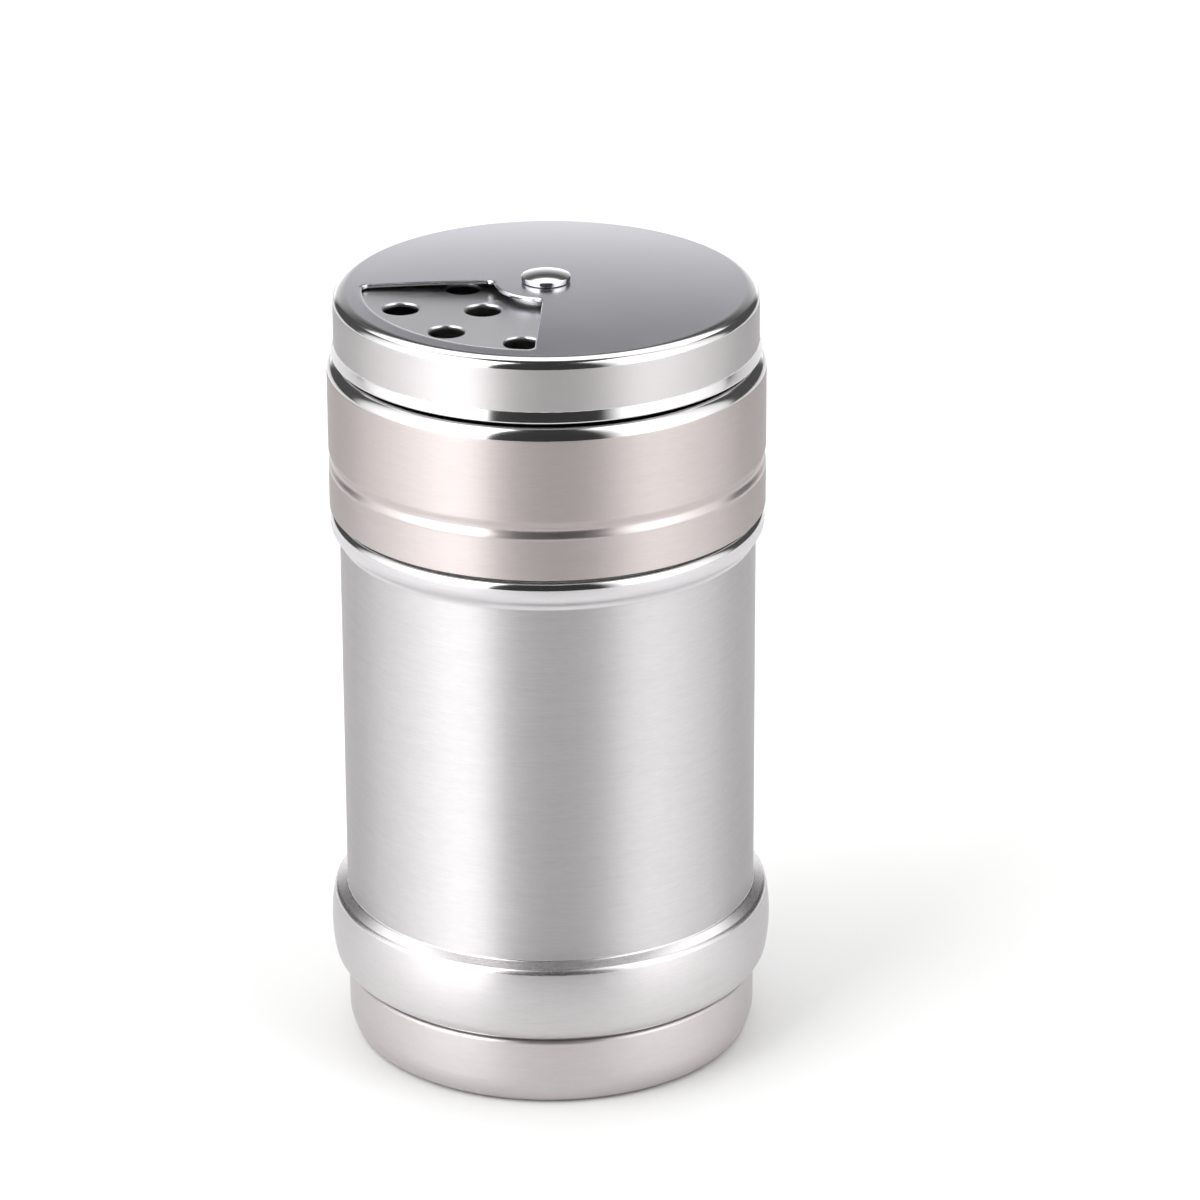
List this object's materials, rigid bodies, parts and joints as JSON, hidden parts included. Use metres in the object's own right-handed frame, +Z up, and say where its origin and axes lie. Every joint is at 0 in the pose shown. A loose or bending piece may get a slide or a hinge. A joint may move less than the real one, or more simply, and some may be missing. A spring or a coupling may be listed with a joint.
{
  "type": "spice shaker dispenser",
  "caption": "Round steel shaker with a screwed lid, coarse and fine shaking holes, and a windowed cover that turns over them.",
  "frame": {"origin": "centre of the round foot, on the surface that the shaker stands on", "axes": "+Z up along the jar's axis, -Y towards the viewer with the cover's window at the front left (-X, -Y)"},
  "size_m": [0.0534, 0.0534, 0.0969],
  "materials": {
    "jar_steel": "stainless steel, brushed round the jar, with polished radii",
    "base_steel": "stainless steel, satin with a slightly warm tone",
    "seal_rubber": "translucent white silicone",
    "lid_steel": "stainless steel, brushed round the collar, satin on the perforated top",
    "insert_plastic": "moulded natural polypropylene",
    "washer_steel": "plain stainless steel",
    "rivet_steel": "polished stainless steel",
    "cover_steel": "stainless steel, polished satin"
  },
  "bodies": {
    "jar": {"jar_shell": "jar_steel", "base_cup": "base_steel"},
    "seal": {"sealing_ring": "seal_rubber"},
    "lid": {"lid_shell": "lid_steel", "thread_insert": "insert_plastic", "backing_washer": "washer_steel", "spring_washer": "washer_steel", "rivet": "rivet_steel"},
    "cover": {"rotating_cover": "cover_steel"}
  },
  "joints": [
    {"name": "lid_lift", "type": "slide", "parent": "jar", "child": "seal", "axis": [0, 0, 1], "range_m": [0, 0.009]},
    {"name": "lid_turn", "type": "hinge", "parent": "seal", "child": "lid", "pos_m": [0, 0, 0.0745], "axis": [0, 0, 1], "range_deg": [0, 810]},
    {"name": "cover_turn", "type": "hinge", "parent": "lid", "child": "cover", "pos_m": [0, 0, 0.0955], "axis": [0, 0, 1], "continuous": true}
  ],
  "couplings": [
    {"joint": "lid_lift", "follows": "lid_turn", "m_per_rad": 0.0006366}
  ]
}
